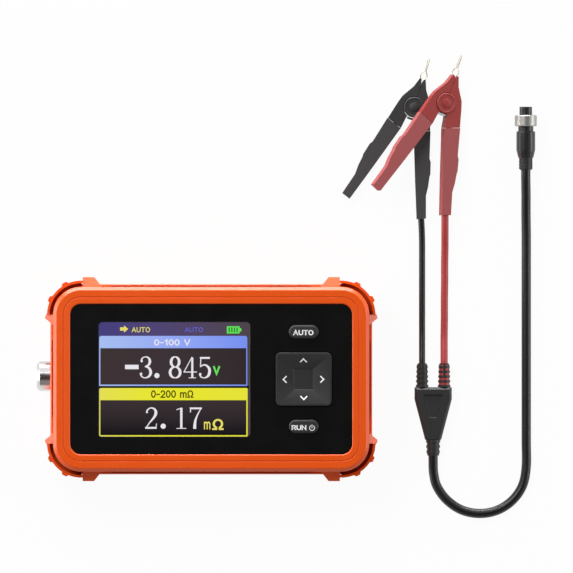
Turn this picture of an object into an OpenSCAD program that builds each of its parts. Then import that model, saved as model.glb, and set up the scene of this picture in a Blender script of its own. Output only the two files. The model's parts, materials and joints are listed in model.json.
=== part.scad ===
// Hand-held battery internal resistance tester with its four-wire probe lead.
// The tester lies on its back, face up. X runs along its length, Y up its face, Z out of its face.
// The origin is the middle of the rear face. The lead lies beside it on the same surface.

/* [Case] */
// Half the distance between the corner centres along the length
corner_x = 49.5; // [48:0.5:56]
// Half the distance between the corner centres across the width
corner_y = 24.5; // [24:0.5:30]
// Outer corner radius of the rear shell
case_r = 11.7; // [11.4:0.1:11.8]
// Wall of the rear shell
shell_wall = 2.9; // [2:0.1:3]
// Floor of the rear shell
floor_t = 2.5; // [1.5:0.1:3]
// Height of the rear shell's rim
rim_z = 20.5; // [20:0.25:24]
// Bevel round the bottom of the rear shell
foot_bevel = 2; // [0.5:0.1:2.5]
// Softened top edge of the rim
rim_edge = 0.45; // [0.1:0.05:0.5]
// Width of the long channels in the rim
channel_w = 0.55; // [0.3:0.05:0.55]
// Depth of the long channels in the rim
channel_d = 1.2; // [0.4:0.1:2]
// Half length of the channels along the long sides
channel_half_x = 38.5; // [20:0.5:40]
// Half length of the channels along the short sides
channel_half_y = 15.2; // [8:0.5:18]

/* [Corner guards] */
// Inner radius of the standing guard wall
guard_in_r = 12; // [11.9:0.1:12.2]
// Thickness of the guard wall
guard_t = 0.95; // [0.7:0.05:1.2]
// Height of the guard's lower edge
guard_z = 2.5; // [0:0.25:4]
// Height of the guard's top edge
guard_top = 22.5; // [21:0.25:25]
// Depth of the open slot behind the guard
slot_d = 5.3; // [3:0.1:5.5]
// How far the upright ribs stand out of the guard
rib_out = 0.8; // [0.4:0.1:1.2]
// Width of an upright rib at its foot
rib_w = 3.4; // [2:0.1:4]
// How far the lugs of the long sides stand out
lug_out_y = 2.6; // [1.5:0.1:3]
// How far the lugs of the short sides stand out
lug_out_x = 2; // [1.5:0.1:3]

/* [Front frame] */
// Rise of the bezel face above the rim
bezel_rise = 7.5; // [5:0.25:9]
// Corner radius of the front panel
panel_r = 4; // [3:0.1:5]
// Corner radius at the outer edge of the bezel face
face_r = 9.3; // [8.5:0.1:9.6]
// Corner radius of the frame's side wall
frame_r = 10.6; // [10.2:0.1:10.7]
// Thickness of the frame's side wall
frame_wall = 1.8; // [1.2:0.1:2]
// Depth of the frame's skirt inside the rear shell
lap = 4; // [2:0.25:5]
// Width of the fine groove round the bezel face
groove_w = 0.35; // [0.2:0.05:0.6]
// Depth of the fine groove round the bezel face
groove_d = 0.3; // [0.1:0.05:0.5]
// Bevel at the inner lip of the bezel
lip = 0.3; // [0.1:0.05:0.5]
// Width of the shelf that carries the front panel
shelf_w = 1.4; // [0.8:0.1:1.8]
// Thickness of the shelf that carries the front panel
shelf_t = 1.5; // [1:0.1:2.5]

/* [Front panel] */
// Thickness of the front panel
panel_t = 1.4; // [1:0.1:2]
// How deep the panel lies below the bezel face
panel_inset = 0.5; // [0.2:0.1:1]
// Left edge of the display window
window_x0 = -42.9; // [-46:0.1:-40]
// Right edge of the display window
window_x1 = 14.8; // [12:0.1:16]
// Half height of the display window
window_half_y = 21.9; // [18:0.1:23]
// Corner radius of the display window
window_r = 1.5; // [0.5:0.1:3]

/* [Keys] */
// Middle of the key column
key_x = 35.15; // [33:0.05:38]
// Distance of the two pill keys above and below the middle
key_y = 18; // [17:0.1:20]
// Length of a pill key
key_l = 11.3; // [9:0.1:13]
// Width of a pill key
key_w = 5.1; // [4:0.1:6]
// How far the keys stand out of the panel
key_proud = 0.7; // [0.4:0.1:1.2]
// Travel of a pill key
key_travel = 0.5; // [0.2:0.05:0.8]
// Width of the direction pad
pad_w = 21.1; // [18:0.1:22]
// Height of the direction pad
pad_h = 20.2; // [18:0.1:21]
// Corner radius of the direction pad
pad_r = 1.7; // [1:0.1:3]
// Depth of the dish in the direction pad
pad_dish = 1.1; // [0.5:0.1:1.4]
// Width of the square in the middle of the pad
pad_mid_w = 7.3; // [5:0.1:9]
// Height of the square in the middle of the pad
pad_mid_h = 7.9; // [5:0.1:9]
// Radius of the ball that the pad rocks on
ball_r = 2; // [1.5:0.1:2.2]

/* [Inside] */
// Height of the board's standoffs above the floor
standoff_h = 11.5; // [10:0.25:12]
// Thickness of the main board
board_t = 1.6; // [1:0.1:2]
// Side of a tactile switch
tact_w = 6; // [4.5:0.1:6.5]
// Height of a tactile switch's body
tact_h = 3.5; // [3:0.1:4.5]
// Height of a tactile switch's plunger above its body
tact_tip = 1.5; // [0.5:0.1:2]
// Length of the battery
cell_l = 50; // [40:1:52]
// Width of the battery
cell_w = 34; // [25:1:36]
// Thickness of the battery
cell_t = 6; // [4:0.5:7]
// Thickness of the display module
module_t = 4; // [3:0.1:5]

/* [Socket] */
// Height of the socket's axis
socket_z = 10.8; // [9:0.1:11]
// Place of the socket's axis across the case
socket_y = 1.1; // [-5:0.1:5]
// Radius of the socket's collar
collar_r = 5.7; // [5.4:0.1:6]
// How far the collar stands out of the case
collar_l = 5.2; // [4:0.1:7]
// Radius of the bore in the collar
collar_bore_r = 4.45; // [4.35:0.05:4.6]
// Radius of the threaded spigot in the collar
spigot_r = 3.2; // [3.1:0.05:3.25]
// Radius of the bore in the spigot
spigot_bore_r = 2.52; // [2.5:0.01:2.6]
// Radius of the threaded stem behind the collar
stem_r = 4.4; // [4:0.1:5]

/* [Plug] */
// Radius of the plug's nose
nose_r = 2.42; // [2.3:0.01:2.45]
// Length of the nose in front of the coupling ring
nose_l = 3.2; // [2:0.1:4]
// Radius of the coupling ring
ring_r = 4.2; // [3.9:0.05:4.3]
// Length of the coupling ring
ring_l = 4.2; // [3.6:0.1:6]
// Radius of the plug's neck
neck_r = 2.9; // [2.7:0.1:3.4]
// Length of the neck
neck_l = 1.85; // [1:0.05:3]
// Radius of the plug's body
body_r = 3.6; // [3.4:0.1:4.1]
// Length of the plug's body
body_l = 7.2; // [5:0.1:10]
// Length of the taper behind the body
taper_l = 2.9; // [1.5:0.1:5]
// Radius of the plug's strain relief
relief_r = 2.6; // [2.5:0.1:2.8]
// Length of the plug's strain relief
relief_l = 4.65; // [3.5:0.05:4.8]

/* [Lead] */
// Diameter of the main cable
cable_d = 3.6; // [3:0.1:3.7]
// Diameter of the black wire
black_d = 2.4; // [2:0.1:2.5]
// Diameter of the red wire
red_d = 2.8; // [2:0.1:2.9]
// Width of the splitter at the wires' end
split_w = 14.2; // [13.6:0.1:16]
// Width of the splitter's neck
split_neck_w = 6.1; // [5.6:0.1:8]
// Thickness of the splitter
split_t = 5.2; // [4.8:0.1:5.4]
// Length of the splitter's wide part
split_wide_l = 4.6; // [3:0.1:6]
// Length of the splitter's taper
split_taper_l = 10.6; // [8:0.1:11]
// Distance of each wire from the splitter's middle
split_wire_x = 4.2; // [3.8:0.1:4.6]

/* [Probe clips] */
// Length of a lever behind the hub
lever_l = 42.7; // [38:0.1:43]
// Reach of the jaws in front of the hub
jaw_l = 10.9; // [9:0.1:13]
// Reach of a lever outward from the hub's middle
lever_w = 6.2; // [5.8:0.1:6.3]
// Thickness of the levers
lever_t = 3.6; // [3.3:0.1:3.6]
// Start of the soft grip behind the hub
grip_at = 9.4; // [8:0.1:11]
// Angle between the two levers at rest
spread = 42; // [40:0.5:44]
// Radius of the hub
hub_r = 4; // [3.6:0.1:4.1]
// Reach of the needles in front of the hub
needle_l = 19.5; // [17:0.1:22]
// Radius of a needle
needle_r = 0.2; // [0.15:0.01:0.25]

/* [Hidden] */

$fn = 48;
// Overrun of every cut past the face it opens
cut = 0.5;
// Clearance between pieces that are fitted together and stay put
seat_gap = 0.05;
// Clearance between the front panel's edge and the frame
panel_gap = 0.1;
// Clearance round a key in the panel
key_gap = 0.2;
// Clearance round the rocking pad in the panel
rock_gap = 0.35;
// Gap that keeps a moving piece off what lies above or below it
rest_gap = 0.1;

orange = [0.88, 0.3, 0.08];
black = [0.08, 0.08, 0.08];
grey = [0.22, 0.22, 0.22];
steel = [0.76, 0.77, 0.79];
board_green = [0.05, 0.35, 0.2];

// Heights that follow from one another
face_z = rim_z + bezel_rise;
skirt_z = rim_z - lap;
panel_z1 = face_z - panel_inset;
panel_z0 = panel_z1 - panel_t;
board_z0 = floor_t + standoff_h;
board_z1 = board_z0 + board_t;
tact_z1 = board_z1 + tact_h + tact_tip;
key_z1 = panel_z1 + key_proud;
cavity_r = case_r - shell_wall;
case_x = corner_x + case_r;
cavity_x = corner_x + cavity_r;

// A rounded rectangle given by its half sizes and corner radius
module round_rect(half_x, half_y, r) {
    for (sx = [-1, 1], sy = [-1, 1])
        translate([sx * (half_x - r), sy * (half_y - r)]) circle(r);
    square([2 * (half_x - r), 2 * half_y], center = true);
    square([2 * half_x, 2 * (half_y - r)], center = true);
}

// A plate whose corners lie at radius r round the case's corner centres
module plate(r, z0, z1) {
    translate([0, 0, z0]) linear_extrude(z1 - z0) round_rect(corner_x + r, corner_y + r, r);
}

// A profile of radius and height, carried round the rounded rectangle of the case
module around_case() {
    for (turn = [0:3]) {
        x = turn == 0 || turn == 3 ? corner_x : -corner_x;
        y = turn < 2 ? corner_y : -corner_y;
        translate([x, y, 0]) rotate([0, 0, 90 * turn]) rotate_extrude(angle = 90) children();
    }
    for (half = [0, 180]) rotate([0, 0, half]) {
        translate([-corner_x, corner_y, 0]) rotate([90, 0, 90]) linear_extrude(2 * corner_x) children();
        translate([corner_x, corner_y, 0]) rotate([90, 0, 0]) linear_extrude(2 * corner_y) children();
    }
}

// Whatever is made at the +X +Y corner, repeated at all four
module at_corners() {
    for (mx = [0, 1], my = [0, 1]) mirror([mx, 0, 0]) mirror([0, my, 0]) children();
}

// A box given by its two opposite corners
module block(low, high) {
    translate(low) cube(high - low);
}

// A pill of the key's shape, grown by g all round
module pill(l, w, g, z0, z1) {
    r = w / 2 + g;
    translate([0, 0, z0]) linear_extrude(z1 - z0) {
        square([l - w, 2 * r], center = true);
        for (s = [-1, 1]) translate([s * (l - w) / 2, 0]) circle(r);
    }
}

// A round rod from point to point, with a ball at every inner point
module rod(points, r) {
    for (i = [0:len(points) - 2]) {
        step = points[i + 1] - points[i];
        flat = norm([step[0], step[1]]);
        translate(points[i]) rotate([0, atan2(flat, step[2]), atan2(step[1], step[0])])
            cylinder(h = norm(step), r = r, $fn = 24);
        if (i > 0) translate(points[i]) sphere(r, $fn = 24);
    }
}

// Front frame: stepped orange bezel, shelf under the panel, skirt in the rear shell, screw bosses
boss_in = 4; // distance of a screw boss from its corner centre, along X and along Y
boss_r = 2.9;
screw_r = 1.25;
screw_fit = 0.1;
boss_up = 4; // foot of the frame's screw bosses above the floor
boss_z0 = floor_t + boss_up;

module frame_profile() {
    shelf_z0 = panel_z0 - shelf_t;
    shelf_r = panel_r - shelf_w;
    open_r = panel_r + panel_gap;
    groove_r = (panel_r + face_r) / 2;
    bevel = frame_r - face_r;
    polygon([
        [shelf_r, shelf_z0], [shelf_r, panel_z0], [open_r, panel_z0], [open_r, face_z - lip],
        [open_r + lip, face_z], [groove_r - groove_w / 2, face_z],
        [groove_r - groove_w / 2, face_z - groove_d], [groove_r + groove_w / 2, face_z - groove_d],
        [groove_r + groove_w / 2, face_z], [face_r, face_z], [frame_r, face_z - bevel],
        [frame_r, skirt_z + seat_gap], [frame_r - frame_wall, skirt_z + seat_gap],
        [frame_r - frame_wall, shelf_z0]
    ]);
}

module front_frame() {
    color(orange) difference() {
        union() {
            around_case() frame_profile();
            at_corners() translate([corner_x + boss_in, corner_y + boss_in, boss_z0])
                cylinder(h = panel_z0 - shelf_t - boss_z0 + seat_gap, r = boss_r);
        }
        at_corners() translate([corner_x + boss_in, corner_y + boss_in, boss_z0 - cut])
            cylinder(h = case_screw_l - screw_seat_z + cut, r = screw_r + screw_fit);
    }
}

// Rear shell: deep tub with bevelled foot, rim channels, corner guards and screw wells
screw_head_r = 2.3;
screw_head_h = 1.8;
screw_seat_z = 3.2;
case_screw_l = 14;
well_r = 3.2;
standoff_r = 2.6;
board_screw_r = 0.9;
board_screw_x0 = -46;
board_screw_x1 = 51;
board_screw_y = 21;

module rear_profile() {
    polygon([
        [0, 0], [case_r - foot_bevel, 0], [case_r, foot_bevel], [case_r, rim_z - rim_edge],
        [case_r - rim_edge, rim_z], [0, rim_z]
    ]);
}

// Long channel in the rim of one side: half length l, with slanted ends
module rim_channel(l, side) {
    w = channel_w + frame_r + seat_gap;
    translate([0, side, rim_z - channel_d]) linear_extrude(channel_d + cut) polygon([
        [-l, frame_r], [l, frame_r], [l - channel_d, w], [-l + channel_d, w]
    ]);
}

guard_r = guard_in_r + guard_t;
slot_z = guard_top + seat_gap - slot_d;
rib_angles = [27, 62];
lug_flat = 4.3;
lug_ramp_y = 2.9;
lug_flat_side = 1.4;
lug_ramp_x = 2.5;
lug_start = 0.6;
lug_drop = 2.4; // how much lower a lug's outer edge lies than its foot

// Upright wall round the corner, its solid foot below the slot, and the ribs on it
module guard_wall(root) {
    h = guard_top - guard_z;
    rotate_extrude(angle = 90) translate([guard_in_r, 0]) square([guard_t, h]);
    rotate_extrude(angle = 90) translate([root, 0])
        square([guard_in_r - root + guard_t / 2, slot_z - guard_z]);
    for (a = rib_angles) rotate([0, 0, a]) linear_extrude(h) polygon([
        [guard_r - guard_t / 2, -rib_w / 2], [guard_r + rib_out, -rib_w / 4],
        [guard_r + rib_out, rib_w / 4], [guard_r - guard_t / 2, rib_w / 2]
    ]);
}

// Side view of a lug whose foot lies at a and whose outer edge lies at b
module lug_profile(a, b) {
    polygon([[a, guard_z], [b, guard_z], [b, guard_top - lug_drop], [a, guard_top]]);
}

module guard() {
    foot = frame_r + seat_gap;
    end_y = corner_y + case_r + lug_out_y;
    end_x = corner_x + case_r + lug_out_x;
    translate([corner_x, corner_y, guard_z]) guard_wall(case_r - rim_edge);
    intersection() {
        translate([0, 0, guard_z]) linear_extrude(guard_top - guard_z) polygon([
            [corner_x - lug_start, corner_y + foot], [corner_x - lug_start, end_y + cut],
            [corner_x - lug_start - lug_flat, end_y + cut], [corner_x - lug_start - lug_flat, end_y],
            [corner_x - lug_start - lug_flat - lug_ramp_y, corner_y + foot]
        ]);
        rotate([90, 0, 90]) linear_extrude(corner_x) lug_profile(corner_y + foot, end_y);
    }
    translate([0, 0, guard_z]) linear_extrude(guard_top - guard_z) polygon([
        [corner_x - lug_start, corner_y + guard_in_r], [corner_x + guard_t, corner_y + guard_in_r],
        [corner_x + guard_t, corner_y + guard_r], [corner_x - lug_start, corner_y + guard_r]
    ]);
    intersection() {
        translate([0, 0, guard_z]) linear_extrude(guard_top - guard_z) polygon([
            [corner_x + foot, corner_y], [corner_x + guard_in_r, corner_y + lug_start],
            [corner_x + guard_r, corner_y + lug_start], [end_x, corner_y - lug_start],
            [end_x + cut, corner_y - lug_start], [end_x + cut, corner_y - lug_flat_side],
            [end_x, corner_y - lug_flat_side], [corner_x + foot, corner_y - lug_flat_side - lug_ramp_x]
        ]);
        translate([0, corner_y + 2 * lug_start, 0]) rotate([90, 0, 0]) linear_extrude(corner_y)
            lug_profile(corner_x + foot, end_x);
    }
}

port_drop = 1.7; // the port's axis below the board
port_z = board_z0 - port_drop;
port_half_w = 4.5;
port_half_h = 1.6;
port_gap = 0.3;

module rear_shell() {
    color(orange) difference() {
        union() {
            difference() {
                union() {
                    around_case() rear_profile();
                    block([-corner_x, -corner_y, 0], [corner_x, corner_y, rim_z]);
                    at_corners() guard();
                }
                plate(cavity_r, floor_t, skirt_z + cut);
                plate(frame_r + seat_gap, skirt_z, rim_z + cut);
                at_corners() translate([corner_x, corner_y, slot_z]) rotate_extrude(angle = 90)
                    translate([frame_r, 0]) square([guard_in_r - frame_r, guard_top - slot_z + cut]);
                for (turn = [0, 180]) rotate([0, 0, turn]) {
                    rim_channel(channel_half_x, corner_y);
                    rotate([0, 0, 90]) rim_channel(channel_half_y, corner_x);
                }
            }
            at_corners() translate([corner_x + boss_in, corner_y + boss_in, 0])
                cylinder(h = boss_z0 - seat_gap, r = well_r);
            for (x = [board_screw_x0, board_screw_x1], sy = [-1, 1])
                translate([x, sy * board_screw_y, 0]) cylinder(h = board_z0, r = standoff_r);
        }
        at_corners() translate([corner_x + boss_in, corner_y + boss_in, -cut]) {
            cylinder(h = screw_seat_z + cut, r = screw_head_r + screw_fit);
            cylinder(h = boss_z0 + 2 * cut, r = screw_r + screw_fit);
        }
        for (x = [board_screw_x0, board_screw_x1], sy = [-1, 1])
            translate([x, sy * board_screw_y, board_z0 - board_screw_l])
                cylinder(h = board_screw_l + cut, r = board_screw_r + screw_fit);
        translate([-cavity_x + cut, socket_y, socket_z]) rotate([0, -90, 0])
            cylinder(h = shell_wall + 2 * cut, r = stem_r + seat_gap);
        translate([cavity_x - cut, 0, port_z]) rotate([90, 0, 90])
            linear_extrude(shell_wall + 2 * cut) round_rect(
                port_half_w + port_gap, port_half_h + port_gap, port_half_h);
    }
}

module front_panel() {
    color(black) difference() {
        plate(panel_r, panel_z0, panel_z1);
        translate([(window_x0 + window_x1) / 2, 0, panel_z0 - cut]) linear_extrude(panel_t + 2 * cut)
            round_rect((window_x1 - window_x0) / 2, window_half_y, window_r);
        for (s = [-1, 1]) translate([key_x, s * key_y, 0])
            pill(key_l, key_w, key_gap, panel_z0 - cut, panel_z1 + cut);
        translate([key_x, 0, panel_z0 - cut]) linear_extrude(panel_t + 2 * cut)
            round_rect(pad_w / 2 + rock_gap, pad_h / 2 + rock_gap, pad_r + rock_gap);
    }
}

module display_window() {
    color([0.1, 0.12, 0.16, 0.5]) translate([(window_x0 + window_x1) / 2, 0, panel_z0])
        linear_extrude(panel_t) round_rect(
            (window_x1 - window_x0) / 2 - seat_gap, window_half_y - seat_gap, window_r);
}

// Display module: metal tray with the glass cell in it, glued behind the panel
tray_margin = 2.2;
tray_wall = 0.6;
glass_step = 0.4;

module display_module() {
    x0 = window_x0 - tray_margin;
    x1 = window_x1 + tray_margin;
    y1 = window_half_y + tray_margin;
    z0 = panel_z0 - module_t;
    color(steel) difference() {
        block([x0, -y1, z0], [x1, y1, panel_z0]);
        block([x0 + tray_wall, -y1 + tray_wall, panel_z0 - glass_step],
              [x1 - tray_wall, y1 - tray_wall, panel_z0 + cut]);
    }
    color(grey) block([x0 + tray_wall, -y1 + tray_wall, panel_z0 - glass_step],
        [x1 - tray_wall, y1 - tray_wall, panel_z0 - glass_step / 2]);
}

// Flat cable from the display's edge down to the board
flex_w = 12;
flex_t = 0.3;
flex_out = 2.5;

module display_cable() {
    x = window_x1 + tray_margin;
    z = panel_z0 - module_t / 2;
    color([0.85, 0.5, 0.15]) translate([0, flex_w / 2, 0]) rotate([90, 0, 0]) linear_extrude(flex_w)
        polygon([
            [x, z], [x + flex_out, z], [x + flex_out, board_z1 + flex_t],
            [x + 2 * flex_out, board_z1 + flex_t],
            [x + 2 * flex_out, board_z1], [x + flex_out - flex_t, board_z1],
            [x + flex_out - flex_t, z - flex_t], [x, z - flex_t]
        ]);
}

// Pill keys: cap through the panel, flange behind it and a stem over the switch
flange_out = 0.8;
flange_t = 0.8;
stem_key_r = 1.6;
key_edge = 0.35;

module pill_key(y) {
    flange_z1 = panel_z0 - rest_gap;
    stem_z0 = tact_z1 + key_travel + rest_gap;
    color(grey) translate([key_x, y, 0]) {
        pill(key_l, key_w, 0, flange_z1 - flange_t, key_z1 - key_edge);
        pill(key_l, key_w, -key_edge, flange_z1, key_z1);
        pill(key_l, key_w, flange_out, flange_z1 - flange_t, flange_z1);
        translate([0, 0, stem_z0]) cylinder(h = flange_z1 - stem_z0, r = stem_key_r);
    }
}

module auto_key() { pill_key(key_y); }
module run_key() { pill_key(-key_y); }

// Direction pad: one dished plate that rocks on a ball, with a nub over each of four switches
pad_drop = 1.1;
pad_flange_out = 0.9;
nub_x = 7.4;
nub_y = 7.1;
nub_r = 1.4;
pad_rim = 0.9;
pad_pit = 0.3;
tilt_room = 0.5;
ball_gap = 0.1;
ball_z = panel_z0 - pad_drop - flange_t;

module direction_pad() {
    top = key_z1;
    flange_z1 = panel_z0 - pad_drop;
    color(grey) difference() {
        union() {
            translate([key_x, 0, ball_z]) linear_extrude(top - ball_z)
                round_rect(pad_w / 2, pad_h / 2, pad_r);
            translate([key_x, 0, ball_z]) linear_extrude(flange_z1 - ball_z)
                round_rect(pad_w / 2 + pad_flange_out, pad_h / 2 + pad_flange_out, pad_r);
            for (p = [[nub_x, 0], [-nub_x, 0], [0, nub_y], [0, -nub_y]])
                translate([key_x + p[0], p[1], tact_z1 + tilt_room])
                    cylinder(h = ball_z - tact_z1, r = nub_r);
        }
        hull() {
            translate([key_x, 0, top + pad_pit / 2])
                cube([pad_w - 2 * pad_rim, pad_h - 2 * pad_rim, pad_pit], center = true);
            translate([key_x, 0, top - pad_dish + pad_pit / 2])
                cube([pad_mid_w, pad_mid_h, pad_pit], center = true);
        }
        translate([key_x, 0, top - pad_dish]) cube([pad_mid_w, pad_mid_h, 2 * pad_pit], center = true);
        translate([key_x, 0, ball_z]) sphere(ball_r + ball_gap);
    }
}

module rocker_ball() {
    color(steel) translate([key_x, 0, ball_z]) sphere(ball_r);
}

post_r = 3;
cup_low = 0.35;

module rocker_post() {
    color(black) difference() {
        translate([key_x, 0, board_z1]) cylinder(h = ball_z - cup_low - board_z1, r = post_r);
        translate([key_x, 0, ball_z]) sphere(ball_r + ball_gap);
    }
}

// Main board with what it carries
board_side = 1.6; // gap between the board and the cavity's wall
board_left = 8.5; // room for the socket's nut and wires
board_in_y = 0.5;

module main_board() {
    color(board_green) difference() {
        block([-cavity_x + board_left, -corner_y - board_in_y, board_z0],
              [cavity_x - board_side, corner_y + board_in_y, board_z1]);
        for (x = [board_screw_x0, board_screw_x1], sy = [-1, 1])
            translate([x, sy * board_screw_y, board_z0 - cut])
                cylinder(h = board_t + 2 * cut, r = board_screw_r + screw_fit);
    }
}

tact_tip_r = 1.75;
tact_small_share = 0.6; // the pad's switches against the pill keys' ones
switch_places = [
    [0, key_y], [0, -key_y], [nub_x, 0], [-nub_x, 0], [0, nub_y], [0, -nub_y]
];

module tact_switches() {
    color(black) for (p = switch_places) translate([key_x + p[0], p[1], board_z1]) {
        w = p[1] * p[1] > nub_y * nub_y ? tact_w : tact_w * tact_small_share;
        translate([-w / 2, -w / 2, 0]) cube([w, w, tact_h]);
        cylinder(h = tact_h + tact_tip, r = tact_tip_r * w / tact_w);
    }
}

chip_t = 1.4;
chip_w = 10;
chip_small = 5;
// Middles of the chips, of the corner centres' distances
chip_shares = [[-0.6, 0.4], [-0.28, -0.5]];
small_chip_shares = [[0.08, 0.57], [0.08, -0.16], [-0.77, -0.57]];

module chip(share, w) {
    translate([share[0] * corner_x, share[1] * corner_y, board_z1 + chip_t / 2])
        cube([w, w, chip_t], center = true);
}

module board_chips() {
    color(black) {
        for (share = chip_shares) chip(share, chip_w);
        for (share = small_chip_shares) chip(share, chip_small);
    }
}

// Flat cell on its foam pad, with two leads to a plug-in connector under the board
pad_t = 0.8;
cell_x = -13;
cell_edge = 2;

module battery_pad() {
    color([0.85, 0.85, 0.8]) block([cell_x - cell_l / 3, -cell_w / 3, floor_t],
        [cell_x + cell_l / 3, cell_w / 3, floor_t + pad_t]);
}

module battery() {
    color([0.7, 0.72, 0.75]) translate([cell_x, 0, floor_t + pad_t]) linear_extrude(cell_t)
        round_rect(cell_l / 2, cell_w / 2, cell_edge);
}

lead_run = 6; // from the battery's end to its connector
plug_x = cell_x + cell_l / 2 + lead_run;
plug_l = 5.8;
plug_w = 7.9;
plug_t = 4;
cell_wire_r = 0.6;

module battery_connector() {
    color([0.92, 0.9, 0.85])
        block([plug_x, -plug_w / 2, board_z0 - plug_t], [plug_x + plug_l, plug_w / 2, board_z0]);
}

module battery_leads() {
    x0 = cell_x + cell_l / 2;
    z0 = floor_t + pad_t + cell_t / 2;
    z1 = board_z0 - plug_t / 2;
    x = x0 + lead_run / 2;
    color([0.75, 0.1, 0.08]) for (y = [-plug_w / 4, plug_w / 4])
        rod([[x0, y, z0], [x, y, z0], [x, y, z1], [plug_x, y, z1]], cell_wire_r);
}

// Charging port: metal receptacle under the board, in the right-hand wall
port_l = 7.4;
port_wall = 0.35;
port_tongue = 0.35;

module charging_port() {
    x1 = case_x - shell_wall / 3;
    color(steel) translate([x1 - port_l, 0, port_z]) rotate([90, 0, 90]) {
        difference() {
            linear_extrude(port_l) round_rect(port_half_w, port_half_h, port_half_h - port_wall);
            translate([0, 0, 2 * port_wall]) linear_extrude(port_l) round_rect(
                port_half_w - port_wall, port_half_h - port_wall, port_half_h - 2 * port_wall);
        }
        translate([-port_half_w / 2, -port_tongue, port_wall])
            cube([port_half_w, 2 * port_tongue, port_l - 3 * port_tongue]);
    }
}

// Aviation socket: turned collar with a threaded spigot, clamped through the left wall by its nut
collar_bevel = 1.1;
collar_floor = 1;
spigot_back = 0.3;
washer_t = 0.6;
nut_t = 2.2;
nut_af = 11;
stem_l = shell_wall + washer_t + nut_t + 1.4;
pin_r = 0.35;
pin_ring_r = 1.2;
pin_tail = 3;
insulator_gap = 0.05;

module at_socket() {
    translate([-case_x, socket_y, socket_z]) rotate([0, -90, 0]) children();
}

module socket_shell() {
    color(steel) at_socket() rotate_extrude() polygon([
        [spigot_bore_r, -stem_l], [stem_r, -stem_l], [stem_r, 0], [collar_r, 0],
        [collar_r, collar_l - collar_bevel], [collar_r - collar_bevel, collar_l],
        [collar_bore_r, collar_l], [collar_bore_r, collar_floor], [spigot_r, collar_floor],
        [spigot_r, collar_l - spigot_back], [spigot_bore_r, collar_l - spigot_back]
    ]);
}

module socket_washer() {
    color(steel) at_socket() translate([0, 0, -shell_wall - washer_t]) difference() {
        cylinder(h = washer_t, r = collar_r + washer_t);
        translate([0, 0, -cut]) cylinder(h = washer_t + 2 * cut, r = stem_r + seat_gap);
    }
}

module socket_nut() {
    color(steel) at_socket() translate([0, 0, -shell_wall - washer_t - nut_t]) difference() {
        cylinder(h = nut_t, r = nut_af / sqrt(3), $fn = 6);
        translate([0, 0, -cut]) cylinder(h = nut_t + 2 * cut, r = stem_r + seat_gap);
    }
}

module socket_insulator() {
    color(black) at_socket() difference() {
        translate([0, 0, -stem_l]) cylinder(h = stem_l, r = spigot_bore_r - insulator_gap);
        for (a = [45:90:315]) rotate([0, 0, a]) translate([pin_ring_r, 0, -stem_l - cut])
            cylinder(h = stem_l + 2 * cut, r = pin_r + insulator_gap, $fn = 24);
    }
}

module socket_pins() {
    color([0.9, 0.75, 0.35]) at_socket() for (a = [45:90:315]) rotate([0, 0, a])
        translate([pin_ring_r, 0, -stem_l - pin_tail])
            cylinder(h = stem_l + pin_tail + collar_l / 2, r = pin_r, $fn = 24);
}

module socket_wires() {
    x0 = -case_x + stem_l + pin_tail;
    x1 = -cavity_x + board_left + 2 * pin_tail;
    reach = pin_ring_r * sqrt(2) / 2;
    color([0.8, 0.1, 0.1]) for (sy = [-1, 1], sz = [-1, 1]) {
        y = socket_y + sy * reach;
        z = socket_z + sz * reach;
        x = x1 - sz * reach;
        rod([[x0, y, z], [x, y, z], [x, y, board_z0]], cell_wire_r);
    }
}

board_screw_l = 6;
board_head_r = 1.7;
board_head_h = 1.3;

recess_share = 0.6; // half length of the cross recess, of the head's radius
recess_w_share = 0.25; // width of the cross recess, of the head's radius

module screw(shank_r, shank_l, head_r, head_h) {
    difference() {
        union() {
            cylinder(h = head_h, r = head_r, $fn = 32);
            translate([0, 0, -shank_l]) cylinder(h = shank_l + head_h / 2, r = shank_r, $fn = 32);
        }
        for (a = [0, 90]) rotate([0, 0, a])
            block([-head_r * recess_share, -head_r * recess_w_share / 2, head_h / 2],
                  [head_r * recess_share, head_r * recess_w_share / 2, head_h + cut]);
    }
}

module board_screws() {
    color(steel) for (x = [board_screw_x0, board_screw_x1], sy = [-1, 1])
        translate([x, sy * board_screw_y, board_z1])
            screw(board_screw_r, board_screw_l, board_head_r, board_head_h);
}

module case_screws() {
    color(grey) at_corners() translate([corner_x + boss_in, corner_y + boss_in, screw_seat_z])
        rotate([180, 0, 0]) screw(screw_r, case_screw_l - screw_seat_z, screw_head_r, screw_head_h);
}

// Plug: nose, insulator and four contacts, carried on a core that runs through the coupling ring.
// Along its axis, heights are measured from the tip of the nose towards the cable.
plug_x0 = 119.8;
plug_tip_y = 103.7;
nose_wall = 0.45;
flange_back = 1.2; // from the nose's flange to the rear face of the coupling ring
flange_l = 0.6;
flange_r = spigot_r - seat_gap;
core_r = 2;
contact_r = 0.55;
turn_gap = 0.1;
edge = 0.3;
plug_axis_z = ring_r + turn_gap;

module at_plug() {
    translate([plug_x0, plug_tip_y, plug_axis_z]) rotate([90, 0, 0]) children();
}

ring_z0 = nose_l;
ring_z1 = ring_z0 + ring_l;
nose_z1 = ring_z1 - flange_back;
neck_z0 = ring_z1 + seat_gap;
body_z0 = neck_z0 + neck_l;
body_z1 = body_z0 + body_l;
taper_z1 = body_z1 + taper_l;

module plug_nose() {
    color(black) at_plug() rotate_extrude() polygon([
        [nose_r - nose_wall, 0], [nose_r, 0], [nose_r, nose_z1 - flange_l],
        [flange_r, nose_z1 - flange_l], [flange_r, nose_z1], [nose_r - nose_wall, nose_z1]
    ]);
}

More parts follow.
